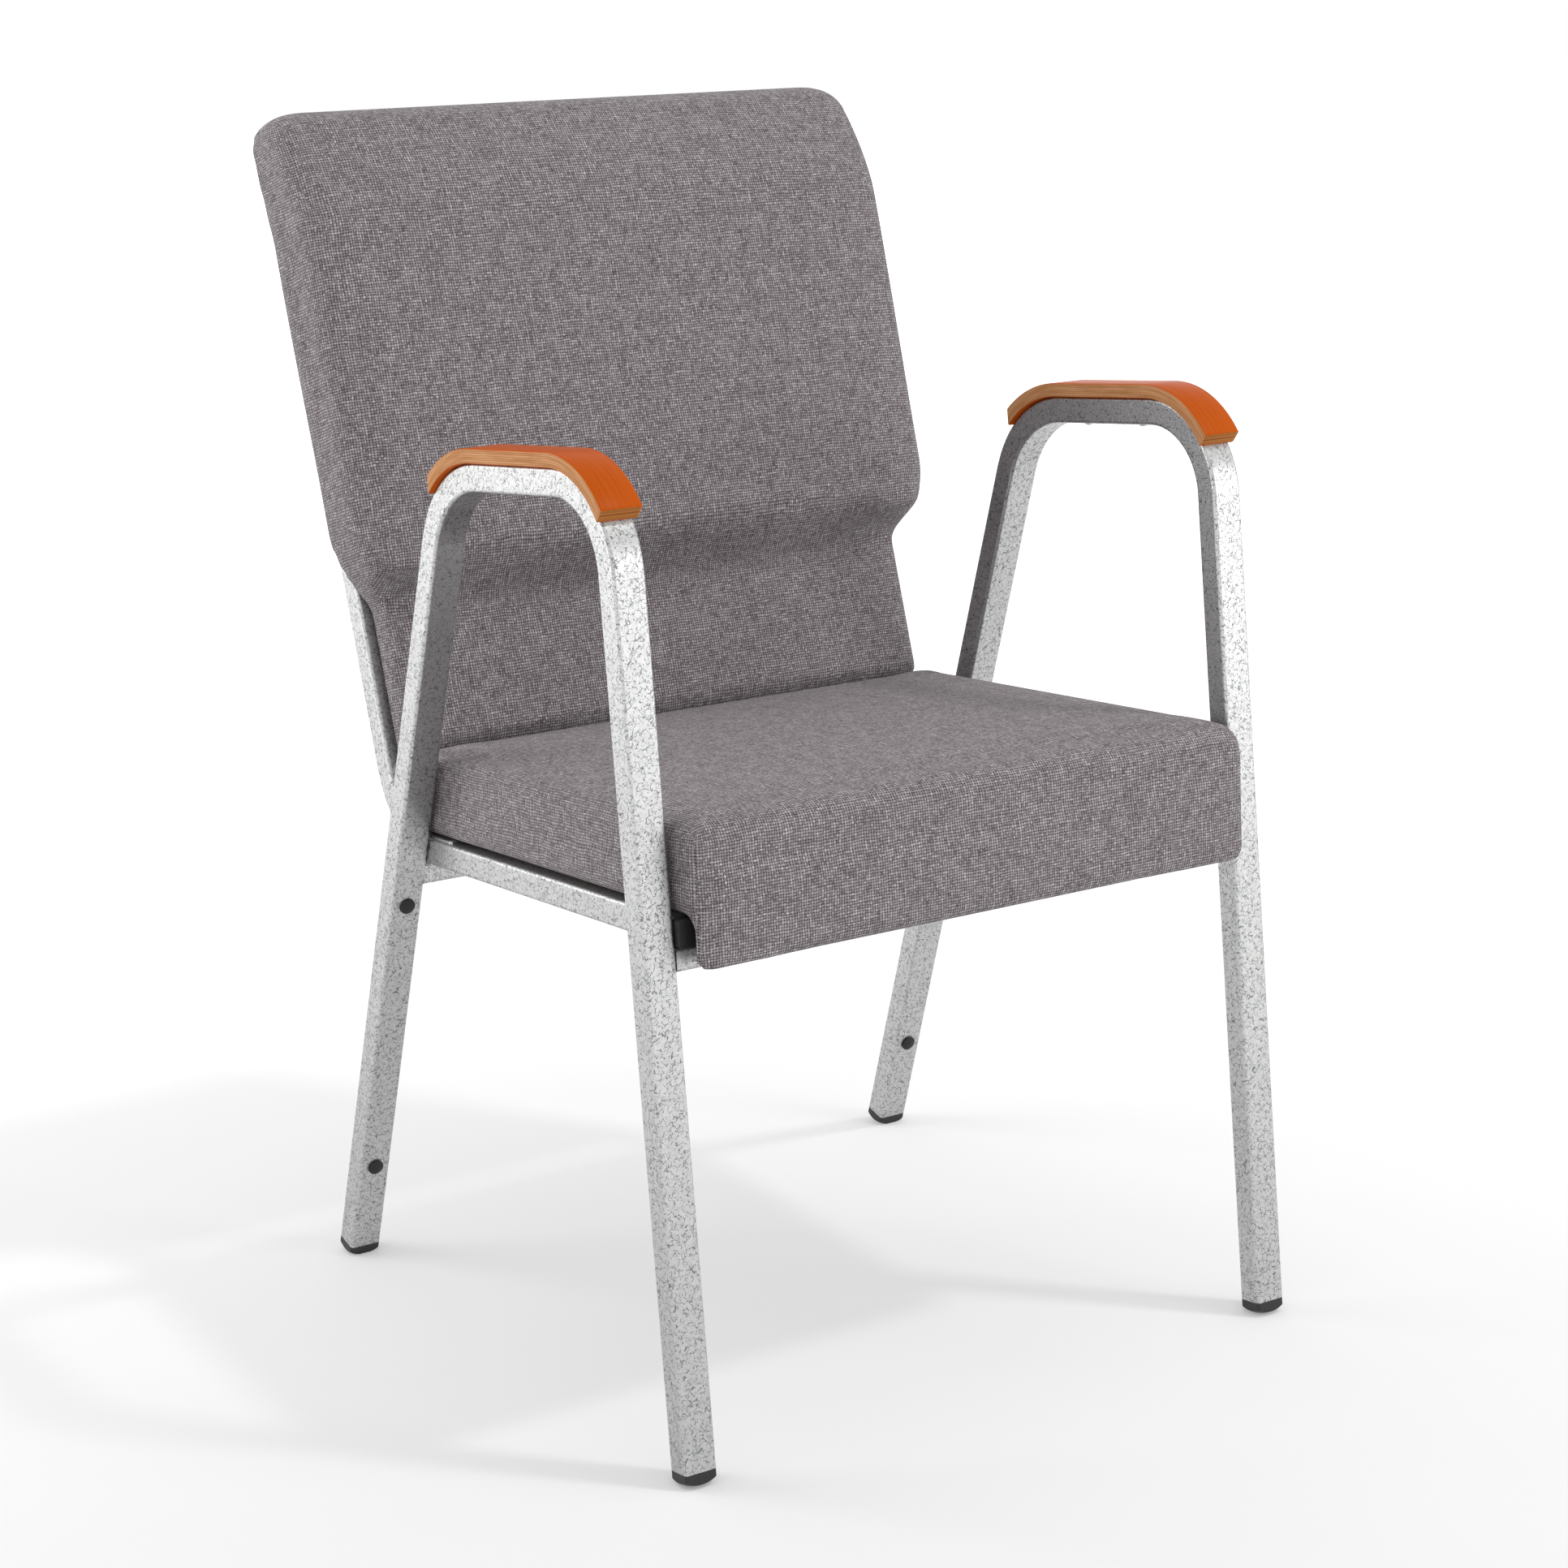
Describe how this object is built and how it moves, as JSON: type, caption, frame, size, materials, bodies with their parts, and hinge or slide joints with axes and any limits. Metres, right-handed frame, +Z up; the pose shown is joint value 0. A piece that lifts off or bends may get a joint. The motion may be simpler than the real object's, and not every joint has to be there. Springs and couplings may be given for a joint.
{
  "type": "stacking church chair with arms",
  "caption": "Upholstered stacking chair with arms: bent rectangular steel tube frame, lumbar-step back pad, deep seat pad with front skirt and bent plywood arm caps.",
  "frame": {"origin": "on the floor, in the middle of the chair's bounding box", "axes": "+Z up, +X to the right seen from in front of the chair, +Y towards the chair's back"},
  "size_m": [0.539, 0.6124, 0.8707],
  "materials": {
    "silver_vein_steel": "silver-vein powder coat: light grey with fine dark crackle lines, semi-gloss",
    "woven_upholstery": "grey-mauve plain weave of light and dark threads, about 2.3 mm pitch, over foam",
    "stained_plywood": "orange cherry stain, satin, with lighter laminated edges",
    "plywood": "bare birch plywood",
    "black_plastic": "moulded black nylon, fine satin",
    "black_rubber": "matte black rubber",
    "zinc_steel": "bright zinc",
    "dust_cloth": "thin black spun-bonded cloth"
  },
  "bodies": {
    "root": {"left_side_frame": "silver_vein_steel", "right_side_frame": "silver_vein_steel", "left_seat_back_tube": "silver_vein_steel", "right_seat_back_tube": "silver_vein_steel", "front_cross_tube": "silver_vein_steel", "rear_cross_tube": "silver_vein_steel", "seat_brackets": "silver_vein_steel", "left_rail_cap": "black_plastic", "right_rail_cap": "black_plastic", "left_upright_plug": "black_plastic", "right_upright_plug": "black_plastic", "seat_board": "plywood", "seat_cushion": "woven_upholstery", "seat_dust_cover": "dust_cloth", "seat_screws": "zinc_steel", "seat_tee_nuts": "zinc_steel", "back_board": "plywood", "back_cushion": "woven_upholstery", "back_panel": "woven_upholstery", "back_screws": "zinc_steel", "back_tee_nuts": "zinc_steel", "left_arm_cap": "stained_plywood", "right_arm_cap": "stained_plywood", "arm_cap_screws": "zinc_steel", "front_left_glide": "black_plastic", "front_right_glide": "black_plastic", "rear_left_glide": "black_plastic", "rear_right_glide": "black_plastic", "left_stack_stops": "black_rubber", "right_stack_stops": "black_rubber"}
  },
  "joints": []
}
